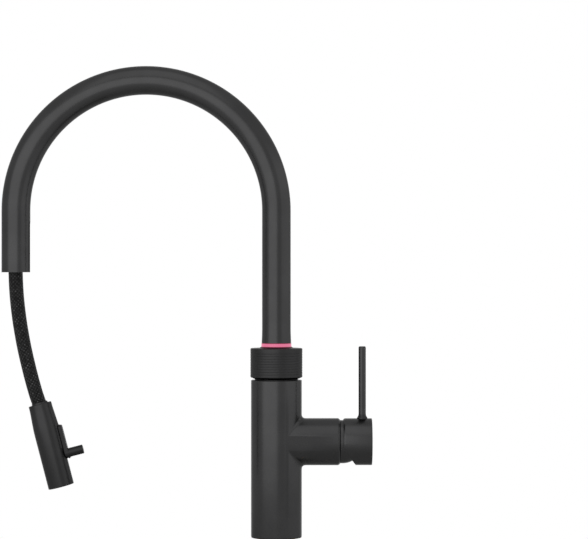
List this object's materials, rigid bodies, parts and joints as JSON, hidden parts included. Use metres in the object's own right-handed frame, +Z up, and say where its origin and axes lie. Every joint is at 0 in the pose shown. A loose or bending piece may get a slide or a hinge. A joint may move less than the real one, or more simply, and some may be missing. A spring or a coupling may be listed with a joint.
{
  "type": "boiling water tap",
  "caption": "Gooseneck kitchen tap with pull-out spray head on a braided hose, side mixer lever, and a lit push-and-turn ring for boiling water.",
  "frame": {"origin": "centre of the worktop hole, on the worktop's top face, on the axis of the body", "axes": "+Z up along the body, +X along the mixer branch, the spout reaching towards -X"},
  "size_m": [0.3283, 0.054, 0.4925],
  "materials": {
    "matt_black": "fine matt powder coat",
    "ring_black": "dark matt coat",
    "braid": "braided sleeve",
    "light": "lit translucent ring",
    "brass": "turned",
    "copper": "drawn tube",
    "steel": "turned",
    "rubber": "matt",
    "ceramic": "lapped",
    "plastic": "moulded",
    "black_plastic": "moulded",
    "board": "circuit board"
  },
  "bodies": {
    "tap_body": {"base_seal": "rubber", "body_shell": "matt_black", "base_plug": "brass", "mounting_shank": "brass", "rubber_washer": "rubber", "clamp_washer": "steel", "fixing_nut": "brass", "valve_core": "brass", "cold_inlet_tail": "copper", "cold_inlet_end": "brass", "hot_inlet_tail": "copper", "hot_inlet_end": "brass", "mixed_outlet_tail": "copper", "mixed_outlet_end": "brass", "boiling_inlet_tail": "copper", "boiling_inlet_end": "brass", "hose_in_body": "braid", "cartridge_adapter": "brass", "cold_port_seal": "rubber", "hot_port_seal": "rubber", "mixed_port_seal": "rubber", "cartridge_housing": "plastic", "fixed_ceramic_disc": "ceramic", "cartridge_nut": "brass", "dome_cover": "matt_black", "boiling_valve_seat": "ceramic", "spring_seat": "brass", "ring_spring": "steel", "centre_column": "brass", "thrust_washer": "plastic"},
    "mixer_carrier": {"cartridge_carrier": "plastic", "pivot_pin": "steel"},
    "moving_disc": {"moving_ceramic_disc": "ceramic"},
    "mixer_handle": {"stem": "steel", "handle_cap": "matt_black", "lever_rod": "matt_black", "grub_screw": "steel"},
    "ring_collar": {"press_collar": "plastic"},
    "grip_ring": {"control_ring": "ring_black", "ring_skirt": "ring_black", "ring_driver": "plastic", "ring_magnet": "steel"},
    "boiling_disc": {"boiling_valve_disc": "ceramic"},
    "spout": {"spout_socket": "brass", "spout_tube": "matt_black", "light_ring": "light", "led_board": "board", "socket_seal": "rubber", "hose_in_spout": "braid", "boiling_tube": "steel", "hose_guide": "plastic", "pull_out_hose": "braid"},
    "hose_end": {"swivel_ball": "steel"},
    "spray_head": {"spray_shell": "matt_black", "head_core": "plastic", "check_valve": "plastic", "aerator_housing": "black_plastic", "spray_plate": "black_plastic", "lever_pin": "steel"},
    "spray_switch": {"spray_lever": "matt_black"}
  },
  "joints": [
    {"name": "mixer_turn", "type": "hinge", "parent": "tap_body", "child": "mixer_carrier", "pos_m": [0.0585, 0, 0.0845], "axis": [1, 0, 0], "range_deg": [-45, 45]},
    {"name": "mixer_lift", "type": "hinge", "parent": "mixer_carrier", "child": "mixer_handle", "pos_m": [0.0585, 0, 0.0845], "axis": [0, 1, 0], "range_deg": [0, 25]},
    {"name": "disc_slide", "type": "slide", "parent": "mixer_carrier", "child": "moving_disc", "axis": [0, 0, 1], "range_m": [0, 0.0064]},
    {"name": "ring_press", "type": "slide", "parent": "tap_body", "child": "ring_collar", "axis": [0, 0, -1], "range_m": [0, 0.0015], "stiffness_N_per_m": 1500, "springref_m": -0.006, "deforming": ["ring_spring"]},
    {"name": "ring_turn", "type": "hinge", "parent": "ring_collar", "child": "grip_ring", "pos_m": [0, 0, 0.155], "axis": [0, 0, 1], "range_deg": [0, 90]},
    {"name": "boiling_disc_turn", "type": "hinge", "parent": "tap_body", "child": "boiling_disc", "pos_m": [0, 0, 0.1128], "axis": [0, 0, 1], "range_deg": [0, 90]},
    {"name": "spout_swivel", "type": "hinge", "parent": "tap_body", "child": "spout", "pos_m": [0, 0, 0.145], "axis": [0, 0, 1], "range_deg": [-60, 60]},
    {"name": "spray_pull_out", "type": "hinge", "parent": "spout", "child": "hose_end", "pos_m": [0.2757, 0, 0.26515], "axis": [0, -1, 0], "range_deg": [-21, 20], "deforming": ["pull_out_hose"]},
    {"name": "spray_tilt", "type": "hinge", "parent": "hose_end", "child": "spray_head", "pos_m": [-0.20819, 0, 0.11209], "axis": [0, -1, 0], "range_deg": [-6.2, 6.5]},
    {"name": "spray_switch_swing", "type": "hinge", "parent": "spray_head", "child": "spray_switch", "pos_m": [-0.19509, 0, 0.0959], "axis": [0, -1, 0], "range_deg": [0, 6]}
  ],
  "couplings": [
    {"joint": "disc_slide", "follows": "mixer_lift", "m_per_rad": 0.0143},
    {"joint": "boiling_disc_turn", "follows": "ring_turn", "ratio": 1},
    {"joint": "spray_tilt", "follows": "spray_pull_out", "ratio": -0.30571}
  ]
}
